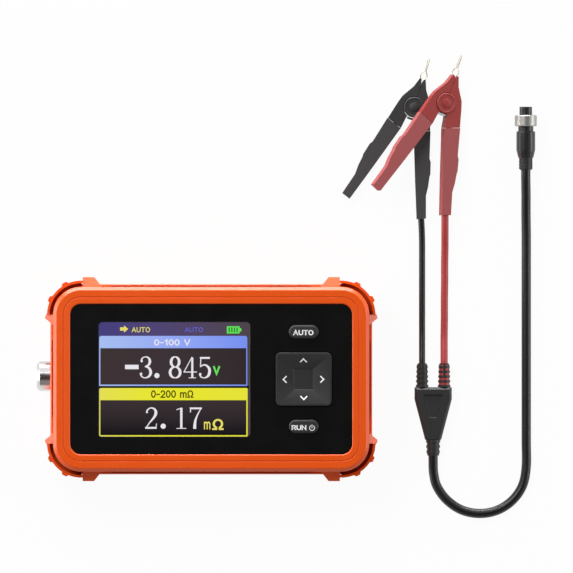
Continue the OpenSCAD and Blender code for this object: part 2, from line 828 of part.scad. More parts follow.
module plug_insert() {
    color(grey) at_plug() difference() {
        translate([0, 0, edge]) cylinder(h = nose_z1 - edge, r = nose_r - nose_wall - seat_gap);
        for (a = [45:90:315]) rotate([0, 0, a]) translate([pin_ring_r, 0, -cut])
            cylinder(h = nose_z1 + 2 * cut, r = contact_r + insulator_gap, $fn = 24);
    }
}

module plug_contacts() {
    color([0.9, 0.75, 0.35]) at_plug() for (a = [45:90:315]) rotate([0, 0, a])
        translate([pin_ring_r, 0, 2 * edge]) difference() {
            cylinder(h = nose_z1 - 2 * edge, r = contact_r, $fn = 24);
            translate([0, 0, -cut]) cylinder(h = nose_z1 - 2 * edge, r = pin_r + insulator_gap / 2, $fn = 24);
        }
}

module coupling_ring() {
    lip_z = nose_z1 + turn_gap;
    lip_r = core_r + turn_gap;
    color(steel) at_plug() rotate_extrude() polygon([
        [lip_r, lip_z], [spigot_r + turn_gap, lip_z], [spigot_r + turn_gap, ring_z0],
        [ring_r - edge, ring_z0], [ring_r, ring_z0 + edge], [ring_r, ring_z1 - edge],
        [ring_r - edge, ring_z1], [lip_r, ring_z1]
    ]);
}

module plug_body() {
    color(black) at_plug() rotate_extrude() polygon([
        [0, nose_z1], [core_r, nose_z1], [core_r, neck_z0], [neck_r, neck_z0], [neck_r, body_z0],
        [body_r - edge, body_z0], [body_r, body_z0 + edge], [body_r, body_z1],
        [relief_r + edge, taper_z1], [0, taper_z1]
    ]);
}

// Ribbed sleeve round a cable: ribs on a core, spines along it, and the pocket that the cable ends in
groove_share = 0.45; // depth of a groove between ribs, of the sleeve's wall
spine_share = 0.3; // width of a spine, of the sleeve's radius
spine_in = 0.1;
pocket_l = 2.2;
pocket_gap = 0.2;

module ribbed_sleeve(l, r_end, r_root, ribs, cable_r) {
    pitch = l / (2 * ribs);
    groove = (r_end - cable_r) * groove_share;
    slope = (r_root - r_end) / l;
    spine_r = r_end - spine_in;
    spine_w = r_end * spine_share;
    difference() {
        union() {
            rotate_extrude() polygon(concat(
                [[0, 0]],
                [for (i = [0:2 * ribs - 1]) let (r = r_root - slope * i * pitch - (i % 2 == 1 ? groove : 0))
                    each [[r, i * pitch], [r, (i + 1) * pitch]]],
                [[0, l]]
            ));
            for (a = [0, 90]) rotate([0, 0, a])
                block([-spine_r, -spine_w / 2, pitch / 2], [spine_r, spine_w / 2, l - pitch / 2]);
        }
        translate([0, 0, l - pocket_l]) cylinder(h = pocket_l + cut, r = cable_r + pocket_gap);
    }
}

module plug_relief() {
    color(black) at_plug() translate([0, 0, taper_z1])
        ribbed_sleeve(relief_l, relief_r, relief_r, 4, cable_d / 2);
}

// Splitter: tapered moulding that joins the two wires to the main cable
split_x0 = 84.5;
split_y0 = -3.15;
split_z0 = 0.2;
split_edge = 0.9;
split_neck_l = 4.9;
mark_d = 0.3;
mark_top_share = 0.25; // half width of the shallow panel at its top, of the splitter's width
mark_bottom_share = 0.27; // half width of the shallow panel at its bottom, of the neck's width
split_z = split_z0 + split_t / 2;
split_relief_r = 2.75;
split_relief_l = 6;
wire_relief_l = 9.1;
wire_relief_r = 2.1;

module split_outline(in) {
    polygon([
        [-split_w / 2 + in, -in], [split_w / 2 - in, -in], [split_w / 2 - in, -split_wide_l],
        [split_neck_w / 2 - in, -split_wide_l - split_taper_l],
        [split_neck_w / 2 - in, -split_wide_l - split_taper_l - split_neck_l],
        [-split_neck_w / 2 + in, -split_wide_l - split_taper_l - split_neck_l],
        [-split_neck_w / 2 + in, -split_wide_l - split_taper_l], [-split_w / 2 + in, -split_wide_l]
    ]);
}

module splitter() {
    top = split_w * mark_top_share;
    bottom = split_neck_w * mark_bottom_share;
    color(black) translate([split_x0, split_y0, split_z0]) difference() {
        hull() {
            translate([0, 0, split_edge]) linear_extrude(split_t - 2 * split_edge) split_outline(0);
            linear_extrude(split_t) split_outline(split_edge);
        }
        translate([0, 0, split_t - mark_d]) linear_extrude(mark_d + cut) polygon([
            [-top, -split_wide_l * 2 / 3], [top, -split_wide_l * 2 / 3],
            [bottom, -split_wide_l - split_taper_l * 2 / 3], [-bottom, -split_wide_l - split_taper_l * 2 / 3]
        ]);
    }
}

module splitter_relief() {
    y = split_y0 - split_wide_l - split_taper_l - split_neck_l;
    color(black) translate([split_x0, y, split_z]) rotate([90, 0, 0])
        ribbed_sleeve(split_relief_l, split_relief_r - edge, split_relief_r, 3, cable_d / 2);
}

module black_relief() {
    color(black) translate([split_x0 - split_wire_x, split_y0, split_z]) rotate([-90, 0, 0])
        ribbed_sleeve(wire_relief_l, wire_relief_r, wire_relief_r + edge, 5, black_d / 2);
}

module red_relief() {
    color(black) translate([split_x0 + split_wire_x, split_y0, split_z]) rotate([-90, 0, 0])
        ribbed_sleeve(wire_relief_l, wire_relief_r, wire_relief_r + edge, 5, red_d / 2);
}

// A tube of eight sides carried along its route, one ring at every point, with the last of radius r_end
tube_sides = 8;
function unit(v) = v / norm(v);
function heading(route, i) =
    unit(route[min(i + 1, len(route) - 1)] - route[max(i - 1, 0)]);
function tube_ring(route, r, i) =
    let (t = heading(route, i), u = unit(cross(t, [0, 0, 1])), v = cross(u, t))
    [for (k = [0:tube_sides - 1]) let (a = 360 * k / tube_sides) route[i] + r * (cos(a) * u + sin(a) * v)];

module tube(route, r, r_end) {
    n = len(route);
    m = tube_sides;
    polyhedron(
        points = [for (i = [0:n - 1]) each tube_ring(route, i < n - 1 ? r : r_end, i)],
        faces = concat(
            [[for (k = [0:m - 1]) m - 1 - k]],
            [for (i = [0:n - 2], k = [0:m - 1]) let (a = i * m + k, b = i * m + (k + 1) % m)
                each [[a, b, b + m], [a, b + m, a + m]]],
            [[for (k = [0:m - 1]) (n - 1) * m + k]]
        ));
}

// From the splitter round the bend to the plug
cable_route = [
    [84.5, -27.3, 2.8], [84.5, -31.5, 2.6], [84.7, -36, 2.1], [86, -41, 1.9], [89.8, -46.2, 1.9],
    [95.5, -50, 1.9], [102.3, -51.3, 1.9], [109.1, -50, 1.9], [114.8, -46.2, 1.9], [118.6, -40.6, 1.9],
    [120, -33.4, 1.9], [120, -24, 1.9], [120, -14, 1.9], [120, -4, 1.9], [120, 6, 1.9], [120, 16, 1.9],
    [120, 26, 1.9], [120, 36, 1.9], [120, 46, 1.9], [120, 55, 2], [119.9, 63, 2.5], [119.9, 70, 3.4],
    [119.8, 76, 4.2], [119.8, 81.8, 4.3]
];
// From the black clip to the splitter
black_route = [
    [79.8, 63.3, 1.8], [80, 60, 1.8], [80.2, 56, 1.6], [80.3, 51, 1.3], [80.3, 45, 1.3],
    [80.3, 38, 1.3], [80.3, 31, 1.3], [80.3, 24, 1.3], [80.3, 17, 1.5], [80.3, 11, 2.2],
    [80.3, 7, 2.7], [80.3, 3.9, 2.8]
];
// From the red clip to the splitter
red_route = [
    [89, 64.7, 3.8], [89, 60, 3.8], [89, 55, 3.2], [89, 50, 2.2], [88.9, 44, 1.6], [88.9, 37, 1.5],
    [88.8, 30, 1.5], [88.8, 23, 1.5], [88.7, 16, 1.6], [88.7, 10.5, 2.3], [88.7, 7, 2.7],
    [88.7, 3.9, 2.8]
];

module main_cable() { color(black) tube(cable_route, cable_d / 2, cable_d / 2); }
module black_wire() { color(black) tube(black_route, black_d / 2, black_d / 2); }
module red_wire() { color(red) tube(red_route, red_d / 2, red_d / 2); }

// Probe clips. In a clip's own frame the needles point along +Y and the hub is the origin.
// The right-hand lever carries the wire and the hub's two cheeks, the left-hand one the tongue.
red = [0.7, 0.24, 0.24];
hard_red = [0.58, 0.2, 0.2];
half_spread = spread / 2;
cheek_t = 0.9;
hub_gap = 0.15;
face_gap = 0.05;
pin_shaft_r = 1.2;
pin_head_r = 1.8;
pin_head_t = 0.4;
cap_web = 0.2;
cap_rim = 0.35;
cap_r = hub_r - cap_rim / 2;
spring_r = hub_r + 0.25;
spring_t = 0.8;
spring_side = 0.7;
spring_room = 0.35;
spring_free = 18; // angle of the leaf's free end, from the clip's axis
spring_held = 36; // angle of the leaf's held end, from the clip's axis
squeeze = 24; // how far a lever swings
spring_spare = 2; // room past the leaf's held end, in degrees
swing_spare = 5; // room past the leaf's free end when the lever has swung, in degrees
needle_root = 2.2;
needle_x = 0.65;
tip_gap = 0.35; // half width of the notch between the jaws' tips
tip_cut = 1.7; // depth of the notch between the jaws' tips
needle_point = 1;
grip_gap = 0.1;
core_w = 2;
core_x = 0.6;
core_l = 21;
core_side = 0.9;

// Outlines of a lever in its own frame: x outward from the hub, y forward to the jaw's tip
jaw_outer_shares = [[0.87, -1], [0.98, -0.25], [1, 0.06], [0.81, 0.56], [0.82, 0.936]];
jaw_inner_shares = [[-0.016, -0.596], [-0.145, -1]];
grip_shares = [
    [0.895, 0], [0.72, 0.316], [0.775, 0.361], [0.695, 0.504], [0.645, 0.519], [0.515, 0.636],
    [0.34, 0.737], [0.26, 0.952], [0.24, 1], [-0.34, 1], [-0.33, 0.952], [-0.27, 0.579], [-0.145, 0]
];
wire_share = -0.05; // place of the wire across the lever's end, of lever_w

function lever_point(s) = [s[0] * lever_w, s[1] * (s[1] < 0 ? grip_at : jaw_l)];
function from_clip(p) =
    [p[0] * cos(half_spread) + p[1] * sin(half_spread), p[1] * cos(half_spread) - p[0] * sin(half_spread)];

module lever_frame(side) {
    mirror([side < 0 ? 1 : 0, 0, 0]) rotate([0, 0, half_spread]) children();
}

// The hard part of a lever without its hub: jaw, shank and the core inside the grip
module lever(side) {
    lever_frame(side) {
        linear_extrude(lever_t) polygon(concat(
            [for (s = jaw_outer_shares) lever_point(s)],
            [for (p = [[tip_gap, jaw_l], [face_gap, jaw_l - tip_cut], [face_gap, hub_r / 2]]) from_clip(p)],
            [for (s = jaw_inner_shares) lever_point(s)]
        ));
        block([core_x, -grip_at - core_l, core_side],
              [core_x + core_w, -grip_at + edge, lever_t - core_side]);
    }
}

module needle_hole(side) {
    translate([side * needle_x, jaw_l - needle_root, lever_t / 2]) rotate([-90, 0, 0])
        cylinder(h = needle_root + cut, r = needle_r + seat_gap, $fn = 24);
}

// Room for the leaf spring from the clip's axis to the given angle
module spring_slot(side, angle) {
    mirror([side < 0 ? 1 : 0, 0, 0]) rotate([0, 0, -90]) translate([0, 0, spring_side - spring_room])
        rotate_extrude(angle = angle) translate([spring_r - spring_room, 0])
            square([spring_t + 2 * spring_room, lever_t - 2 * spring_side + 2 * spring_room]);
}

module jaw_fixed() {
    difference() {
        union() {
            lever(1);
            // Half a turn puts the disc's seam clear of the lever
            rotate([0, 0, 180]) cylinder(h = lever_t, r = hub_r);
        }
        translate([0, 0, cheek_t]) rotate([0, 0, 180])
            cylinder(h = lever_t - 2 * cheek_t, r = hub_r + hub_gap);
        translate([0, 0, -cut]) cylinder(h = lever_t + 2 * cut, r = pin_shaft_r + seat_gap);
        translate([0, 0, -cut]) cylinder(h = pin_head_t + cut + seat_gap, r = pin_head_r + hub_gap);
        needle_hole(1);
        spring_slot(1, spring_held + spring_spare);
    }
}

module jaw_moving() {
    z0 = cheek_t + turn_gap;
    z1 = lever_t - z0;
    difference() {
        union() {
            difference() {
                lever(-1);
                translate([0, 0, -cut]) cylinder(h = z0 + cut, r = hub_r + hub_gap);
                translate([0, 0, z1]) cylinder(h = z0 + cut, r = hub_r + hub_gap);
            }
            translate([0, 0, z0]) cylinder(h = z1 - z0, r = hub_r);
        }
        translate([0, 0, -cut]) cylinder(h = lever_t + 2 * cut, r = pin_shaft_r + seat_gap);
        needle_hole(-1);
        spring_slot(-1, spring_free + squeeze + swing_spare);
    }
}

module grip(side) {
    y0 = -grip_at - grip_gap;
    difference() {
        lever_frame(side) linear_extrude(lever_t) polygon(
            [for (s = grip_shares) [s[0] * lever_w, y0 - s[1] * (lever_l + y0)]]);
        lever_frame(side) block(
            [core_x - grip_gap, -grip_at - core_l - grip_gap, core_side - grip_gap],
            [core_x + core_w + grip_gap, -grip_at + cut, lever_t - core_side + grip_gap]);
        if (side > 0) lever_frame(side)
            translate([wire_share * lever_w, -lever_l + pocket_l + pocket_gap, lever_t / 2])
            rotate([90, 0, 0]) cylinder(h = pocket_l + pocket_gap + cut, r = red_d / 2 + pocket_gap);
    }
}

module pivot_pin() {
    top = lever_t + cap_web;
    foot = pin_head_t / 4;
    rotate_extrude() polygon([
        [0, foot], [pin_head_r, foot], [pin_head_r, pin_head_t], [pin_shaft_r, pin_head_t],
        [pin_shaft_r, top], [pin_head_r, top], [pin_head_r - foot, top + pin_head_t * 2 / 3],
        [pin_head_r / 2, top + pin_head_t], [0, top + pin_head_t]
    ]);
}

module hub_cap() {
    translate([0, 0, lever_t]) rotate_extrude() polygon([
        [pin_shaft_r + seat_gap, 0], [cap_r, 0], [cap_r, cap_web], [cap_r - cap_web, cap_rim],
        [cap_r - 3 * cap_web, cap_rim], [cap_r - 4 * cap_web, cap_web], [pin_shaft_r + seat_gap, cap_web]
    ]);
}

module leaf_spring() {
    rotate([0, 0, -90 - spring_free]) translate([0, 0, spring_side])
        rotate_extrude(angle = spring_free + spring_held) translate([spring_r, 0])
            square([spring_t, lever_t - 2 * spring_side]);
}

// The needle's bends in front of the jaw: how far out, of needle_x, and how far along its free length
needle_shares = [[1.5, 0.08], [2, 0.18], [1.6, 0.28]];
needle_close_share = 0.4; // where the two needles come together, of their free length

module needle(side) {
    z = lever_t / 2;
    tip_x = needle_r + turn_gap;
    bow = needle_l - jaw_l;
    tube(concat(
        [[side * needle_x, jaw_l - needle_root + seat_gap, z], [side * needle_x, jaw_l, z]],
        [for (share = needle_shares) [side * share[0] * needle_x, jaw_l + share[1] * bow, z]],
        [[side * tip_x, jaw_l + needle_close_share * bow, z], [side * tip_x, needle_l - needle_point, z],
         [side * tip_x, needle_l, z]]
    ), needle_r, needle_r / 4);
}

// Where the clips lie: the black one flat, the red one leaning across it
black_hub = [77.3, 103.6, 0];
black_roll = 17;
red_hub = [88.33, 105.07, 2.17];
red_roll = 20.5;
red_lean = 20;

module at_black() {
    translate(black_hub) rotate([0, 0, -black_roll]) children();
}

module at_red() {
    translate(red_hub) rotate([0, red_lean, 0]) rotate([0, 0, -red_roll]) children();
}

module black_jaw_fixed() { color(grey) at_black() jaw_fixed(); }
module black_jaw_moving() { color(grey) at_black() jaw_moving(); }
module black_grip_fixed() { color(black) at_black() grip(1); }
module black_grip_moving() { color(black) at_black() grip(-1); }
module black_pivot_pin() { color(grey) at_black() pivot_pin(); }
module black_hub_cap() { color(grey) at_black() hub_cap(); }
module black_spring() { color(steel) at_black() leaf_spring(); }
module black_needle_fixed() { color(steel) at_black() needle(1); }
module black_needle_moving() { color(steel) at_black() needle(-1); }
module red_jaw_fixed() { color(hard_red) at_red() jaw_fixed(); }
module red_jaw_moving() { color(hard_red) at_red() jaw_moving(); }
module red_grip_fixed() { color(red) at_red() grip(1); }
module red_grip_moving() { color(red) at_red() grip(-1); }
module red_pivot_pin() { color(hard_red) at_red() pivot_pin(); }
module red_hub_cap() { color(hard_red) at_red() hub_cap(); }
module red_spring() { color(steel) at_red() leaf_spring(); }
module red_needle_fixed() { color(steel) at_red() needle(1); }
module red_needle_moving() { color(steel) at_red() needle(-1); }

front_frame();
rear_shell();
front_panel();
display_window();
display_module();
display_cable();
auto_key();
run_key();
direction_pad();
rocker_ball();
rocker_post();
main_board();
tact_switches();
board_chips();
battery();
battery_pad();
battery_connector();
battery_leads();
charging_port();
socket_shell();
socket_nut();
socket_washer();
socket_insulator();
socket_pins();
socket_wires();
case_screws();
board_screws();
plug_nose();
plug_insert();
plug_contacts();
coupling_ring();
plug_body();
plug_relief();
main_cable();
splitter();
splitter_relief();
black_relief();
red_relief();
black_wire();
red_wire();
black_jaw_fixed();
black_jaw_moving();
black_grip_fixed();
black_grip_moving();
black_pivot_pin();
black_hub_cap();
black_spring();
black_needle_fixed();
black_needle_moving();
red_jaw_fixed();
red_jaw_moving();
red_grip_fixed();
red_grip_moving();
red_pivot_pin();
red_hub_cap();
red_spring();
red_needle_fixed();
red_needle_moving();
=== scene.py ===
"""Looks of a hand-held battery internal resistance tester and its probe lead.

The tester lies face up: X along its length, Y up its face, Z out of its face, all in metres.
"""
import json
import math

import bpy
import numpy as np
from mathutils import Matrix


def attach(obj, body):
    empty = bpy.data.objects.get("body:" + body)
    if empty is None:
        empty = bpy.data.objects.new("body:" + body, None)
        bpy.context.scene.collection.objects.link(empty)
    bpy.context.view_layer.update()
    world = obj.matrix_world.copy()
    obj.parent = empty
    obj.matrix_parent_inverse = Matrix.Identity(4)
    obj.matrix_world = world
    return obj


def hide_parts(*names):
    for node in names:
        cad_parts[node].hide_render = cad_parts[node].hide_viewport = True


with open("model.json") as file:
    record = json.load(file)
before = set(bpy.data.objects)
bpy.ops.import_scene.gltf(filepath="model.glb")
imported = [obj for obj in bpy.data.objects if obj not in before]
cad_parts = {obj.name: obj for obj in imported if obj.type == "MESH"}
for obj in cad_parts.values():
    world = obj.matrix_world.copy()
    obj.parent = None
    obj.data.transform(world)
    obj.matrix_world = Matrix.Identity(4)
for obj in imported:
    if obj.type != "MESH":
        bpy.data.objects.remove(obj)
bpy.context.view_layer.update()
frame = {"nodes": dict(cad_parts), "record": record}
nodes = frame["nodes"]

MM = 0.001
PX = 0.38 * MM  # one pixel of the photograph, on the tester's face
PHOTO_SIDE = 573  # pixels
CASE_PX = (211.2, 379.2)  # middle of the case in the photograph
FACE_Z = 27 * MM  # height at which the photograph's scale holds
CAMERA_UP = 8.0  # the camera's height over that
SENSOR = 36  # width of the camera's sensor, in the units of its lens


def spot(px, py):
    """The place in X and Y that a pixel of the photograph shows."""
    return (px - CASE_PX[0]) * PX, (CASE_PX[1] - py) * PX


def add_object(name, data):
    """An object in the scene that holds some data."""
    made = bpy.data.objects.new(name, data)
    bpy.context.scene.collection.objects.link(made)
    return made


def add_camera():
    """A camera straight above the middle of the photograph, far off, whose view is the whole of it."""
    camera = add_object("camera", bpy.data.cameras.new("camera"))
    camera.location = (*spot(PHOTO_SIDE / 2, PHOTO_SIDE / 2), FACE_Z + CAMERA_UP)
    camera.data.sensor_width = SENSOR
    camera.data.lens = SENSOR * CAMERA_UP / (PHOTO_SIDE * PX)
    bpy.context.scene.camera = camera


add_camera()
bpy.context.scene.view_settings.view_transform = "Standard"

# Routes of the cords, in millimetres, as the solids have them
CABLE_ROUTE = [
    (84.5, -27.3, 2.8), (84.5, -31.5, 2.6), (84.7, -36, 2.1), (86, -41, 1.9), (89.8, -46.2, 1.9),
    (95.5, -50, 1.9), (102.3, -51.3, 1.9), (109.1, -50, 1.9), (114.8, -46.2, 1.9), (118.6, -40.6, 1.9),
    (120, -33.4, 1.9), (120, -24, 1.9), (120, -14, 1.9), (120, -4, 1.9), (120, 6, 1.9), (120, 16, 1.9),
    (120, 26, 1.9), (120, 36, 1.9), (120, 46, 1.9), (120, 55, 2), (119.9, 63, 2.5), (119.9, 70, 3.4),
    (119.8, 76, 4.2), (119.8, 81.8, 4.3),
]
BLACK_ROUTE = [
    (79.8, 63.3, 1.8), (80, 60, 1.8), (80.2, 56, 1.6), (80.3, 51, 1.3), (80.3, 45, 1.3),
    (80.3, 38, 1.3), (80.3, 31, 1.3), (80.3, 24, 1.3), (80.3, 17, 1.5), (80.3, 11, 2.2),
    (80.3, 7, 2.7), (80.3, 3.9, 2.8),
]
RED_ROUTE = [
    (89, 64.7, 3.8), (89, 60, 3.8), (89, 55, 3.2), (89, 50, 2.2), (88.9, 44, 1.6), (88.9, 37, 1.5),
    (88.8, 30, 1.5), (88.8, 23, 1.5), (88.7, 16, 1.6), (88.7, 10.5, 2.3), (88.7, 7, 2.7),
    (88.7, 3.9, 2.8),
]
CLIP_PARTS = (
    "jaw_fixed", "jaw_moving", "grip_fixed", "grip_moving", "pivot_pin", "hub_cap", "spring",
    "needle_fixed", "needle_moving",
)


def smooth_line(points, steps=8):
    """A smooth curve through the points, as an array with that many steps to a stretch.

    Each stretch is a cubic, and its slope at a point is half the way from the point before to the next.
    """
    p = np.array(points, float)
    p = np.vstack([2 * p[0] - p[1], p, 2 * p[-1] - p[-2]])
    t = np.linspace(0, 1, steps, endpoint=False)[:, None]
    a, b, c, d = (p[i:len(p) - 3 + i, None, :] for i in range(4))
    line = b + 0.5 * t * (c - a + t * (2 * a - 5 * b + 4 * c - d + t * (3 * (b - c) + d - a)))
    return np.vstack([line.reshape(-1, 3), p[-2:-1]])


def length_of(line):
    """The length of a line of points."""
    return float(np.linalg.norm(np.diff(line, axis=0), axis=1).sum())


def cord_curve(name, route, diameter):
    """A round cord: one open spline along its route, with half the diameter as each point's radius."""
    line = smooth_line(np.array(route) * MM)
    curve = bpy.data.curves.new(name, "CURVE")
    curve.dimensions = "3D"
    curve.bevel_depth = 1
    curve.bevel_resolution = 6
    curve.use_fill_caps = True
    spline = curve.splines.new("POLY")
    spline.points.add(len(line) - 1)
    spline.points.foreach_set("co", np.column_stack([line, np.ones(len(line))]).ravel())
    spline.points.foreach_set("radius", np.full(len(line), diameter / 2))
    piece = add_object(name, curve)
    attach(piece, "root")
    return piece, length_of(line)


def lay_cords():
    """The main cable and the two wires to the clips, by the names of the nodes that they replace."""
    cords = {}
    for cord_name, route, diameter, exit_at, far_end, ends in (
        ("main_cable", CABLE_ROUTE, 3.6 * MM, 0, "plug",
         ("plug_nose", "plug_insert", "plug_contacts", "coupling_ring", "plug_body", "plug_relief",
          "splitter_relief", "splitter")),
        ("black_wire", BLACK_ROUTE, 2.4 * MM, -1, "tool",
         ["black_relief"] + [f"black_{part}" for part in CLIP_PARTS]),
        ("red_wire", RED_ROUTE, 2.8 * MM, -1, "tool",
         ["red_relief"] + [f"red_{part}" for part in CLIP_PARTS]),
    ):
        piece, length = cord_curve(cord_name + "_jacket", route, diameter)
        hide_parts(cord_name)
        cords[cord_name] = piece
    return cords


cords = lay_cords()


# Materials
class Value:
    """A shader socket that takes part in arithmetic, through Math nodes."""

    def __init__(self, finish, socket):
        self.finish = finish
        self.socket = socket

    def maths(self, operation, *values):
        """What a Math node makes of those values."""
        return self.finish.node("ShaderNodeMath", {"operation": operation}, *values)

    def __add__(self, other):
        return self.maths("ADD", self, other)

    __radd__ = __add__

    def __sub__(self, other):
        return self.maths("SUBTRACT", self, other)

    def __rsub__(self, other):
        return self.maths("SUBTRACT", other, self)

    def __mul__(self, other):
        return self.maths("MULTIPLY", self, other)

    __rmul__ = __mul__


class Finish:
    """A new material or world, and the nodes that make it."""

    def __init__(self, owner):
        self.owner = owner
        self.owner.use_nodes = True
        self.tree = owner.node_tree
        self.tree.nodes.clear()

    def node(self, kind, settings=None, *values, sockets=None, out=0):
        """A node of that kind: its settings come first, then what feeds its sockets."""
        made = self.tree.nodes.new(kind)
        for key, value in (settings or {}).items():
            if key == "stops":
                ramp = made.color_ramp
                while len(ramp.elements) < len(value):
                    ramp.elements.new(0.5)
                for stop, (place, shade) in zip(ramp.elements, value):
                    stop.position = place
                    stop.color = (*shade, 1)
            else:
                setattr(made, key, value)
        for i, value in list(enumerate(values)) + list((sockets or {}).items()):
            if isinstance(value, Value):
                self.tree.links.new(value.socket, made.inputs[i])
            else:
                made.inputs[i].default_value = value
        return Value(self, made.outputs[out] if made.outputs else None)

    def outputs(self, kind, names, *values):
        """Several outputs of one node, by name."""
        made = self.node(kind, None, *values).socket.node
        return [Value(self, made.outputs[name]) for name in names]

    def place(self):
        """Object coordinates, in metres."""
        return self.node("ShaderNodeTexCoord", out="Object")

    def noise(self, size, detail):
        """Noise with features of that size in metres."""
        return self.node("ShaderNodeTexNoise", None, self.place(),
                         sockets={"Scale": 1 / size, "Detail": detail})

    def mixed(self, factor, a, b, blend="MIX"):
        """Two colours mixed by a factor. The numbers are the colour sockets of a Mix node."""
        return self.node("ShaderNodeMix", {"data_type": "RGBA", "blend_type": blend},
                         sockets={0: factor, 6: colour_input(a), 7: colour_input(b)}, out=2)

    def bump(self, height, depth):
        """A normal from a height of 0 to 1 that stands for a depth in metres."""
        return self.node("ShaderNodeBump", sockets={"Strength": 1.0, "Distance": depth, "Height": height})

    def surface(self, base, roughness, normal, metallic=0.0):
        """The material, with a Principled surface."""
        return self.finish_with(self.node("ShaderNodeBsdfPrincipled", sockets={
            "Base Color": colour_input(base), "Roughness": roughness, "Metallic": metallic, "Normal": normal,
        }))

    def finish_with(self, shader, output="ShaderNodeOutputMaterial"):
        """The material or world, with that shader on its output."""
        self.node(output, None, shader)
        return self.owner


WHITE = (1, 1, 1, 1)
# The rays that find a white backdrop: the camera's own, and those that metal and glass pass on
WHITE_RAYS = ("Is Camera Ray", "Is Glossy Ray", "Is Transmission Ray")


def new_finish(name):
    """A material of that name, still without nodes."""
    return Finish(bpy.data.materials.new(name))


def colour_input(shade):
    """A colour socket's value: a link as it is, or a plain colour with alpha."""
    return shade if isinstance(shade, Value) else (*shade, 1)


def srgb(code):
    """Linear colour from a six-figure colour code."""
    parts = [int(code[i:i + 2], 16) / 255 for i in (0, 2, 4)]
    return tuple(c / 12.92 if c <= 0.04045 else ((c + 0.055) / 1.055) ** 2.4 for c in parts)


def scaled(shade, k):
    """A colour made lighter or darker."""
    return tuple(min(1.0, c * k) for c in shade)


def moulded(name, code, roughness, grain=0.25 * MM, depth=0.006 * MM, mottle=0.06):
    """Moulded plastic or rubber: fine grain in relief, slow changes of tone and gloss."""
    f = new_finish(name)
    shade = srgb(code)
    tone = f.noise(9 * MM, 3.0)
    fine = f.noise(grain, 2.0)
    base = f.mixed(tone, scaled(shade, 1 - mottle), scaled(shade, 1 + mottle))
    return f.surface(base, roughness - 0.05 + 0.1 * tone, f.bump(fine, depth))


def plated(name, shade, roughness):
    """Plated or turned metal: a fine uneven gloss, and slow changes of tone."""
    f = new_finish(name)
    fine = f.noise(0.3 * MM, 3.0)
    tone = f.noise(3 * MM, 2.0)
    base = f.mixed(tone, scaled(shade, 0.9), scaled(shade, 1.06))
    return f.surface(base, roughness + 0.12 * (fine - 0.5), f.bump(fine, 0.002 * MM), metallic=1.0)


def orange_plastic():
    """Satin orange moulding with a faint spark-eroded grain."""
    return moulded("orange_shell", "E95408", 0.33, grain=0.35 * MM, depth=0.005 * MM, mottle=0.03)


def glossy_panel():
    """Near-black front panel, smooth with faint waves in its gloss."""
    return moulded("black_panel", "0E0E0E", 0.22, grain=14 * MM, depth=0.004 * MM, mottle=0.04)


def window_clear():
    """Clear window: it lets the display through and keeps a faint reflection on its outer side."""
    f = new_finish("window_glass")
    clear = f.node("ShaderNodeBsdfTransparent", sockets={"Color": (0.96, 0.96, 0.97, 1)})
    shine = f.node("ShaderNodeBsdfGlossy", sockets={"Color": WHITE, "Roughness": 0.08})
    edge = f.node("ShaderNodeFresnel", sockets={"IOR": 1.45})
    outer = 1 - f.node("ShaderNodeNewGeometry", out="Backfacing")
    return f.finish_with(f.node("ShaderNodeMixShader", None, edge * outer * 0.9, clear, shine))


def board_green():
    """Green solder mask with darker tracks."""
    f = new_finish("circuit_board")
    cells = f.node("ShaderNodeTexVoronoi", {"feature": "DISTANCE_TO_EDGE", "distance": "CHEBYCHEV"},
                   f.place(), sockets={"Scale": 1 / (2.4 * MM)})
    tracks = f.node("ShaderNodeMath", {"operation": "LESS_THAN"}, cells, 0.08)
    base = f.mixed(tracks, srgb("0E5A34"), srgb("187A48"))
    return f.surface(base, 0.35, f.bump(tracks, 0.02 * MM))


# Colour and roughness of each metal
PLATED = {
    "module_tray": ((0.6, 0.6, 0.62), 0.35),
    "polished_metal": ((0.7, 0.7, 0.71), 0.22),
    "knurled_metal": ((0.4, 0.39, 0.37), 0.45),
    "battery_foil": ((0.75, 0.75, 0.77), 0.4),
    "gold_pins": ((0.86, 0.66, 0.28), 0.22),
    "screw_steel": ((0.3, 0.3, 0.31), 0.35),
    "spring_steel": ((0.85, 0.85, 0.86), 0.2),
    "needle_metal": ((0.5, 0.44, 0.34), 0.3),
}
# Colour and roughness of each plastic and rubber, then the size and depth of a grain of its own
MOULDED = {
    "flex_film": ("C8863A", 0.35),
    "black_plastic": ("1B1B1B", 0.5),
    "foam": ("DAD8D0", 0.9, 0.5 * MM, 0.1 * MM),
    "nylon": ("EAE6DC", 0.5),
    "inner_wire": ("B01A14", 0.4),
    "key_plastic": ("292929", 0.4, 0.2 * MM, 0.01 * MM),
    "plug_black": ("242425", 0.28, 0.6 * MM, 0.003 * MM),
    "soft_black": ("222223", 0.5, 0.3 * MM, 0.01 * MM),
    "cable_black": ("101010", 0.36, 0.8 * MM, 0.006 * MM),
    "cable_red": ("AC3B3B", 0.42, 0.8 * MM, 0.01 * MM),
    "clip_black": ("2E2E2F", 0.45),
    "clip_red": ("973330", 0.45),
    "grip_black": ("39393A", 0.7, 0.3 * MM, 0.02 * MM),
    "grip_red": ("9E4B4C", 0.7, 0.3 * MM, 0.02 * MM),
}
MATERIALS = {
    "orange_shell": orange_plastic(),
    "black_panel": glossy_panel(),
    "window_glass": window_clear(),
    "circuit_board": board_green(),
}
MATERIALS.update({name: plated(name, *values) for name, values in PLATED.items()})
MATERIALS.update({name: moulded(name, *values) for name, values in MOULDED.items()})
NODE_SLOT = {row["node"]: row["material_slot"] for row in frame["record"]["subparts"]}


def set_material(piece, name):
    """Gives a piece that one material."""
    piece.data.materials.clear()
    piece.data.materials.append(MATERIALS[name])


for node_name, node in nodes.items():
    set_material(node, NODE_SLOT[node_name])
for cord_name, piece in cords.items():
    set_material(piece, NODE_SLOT[cord_name])

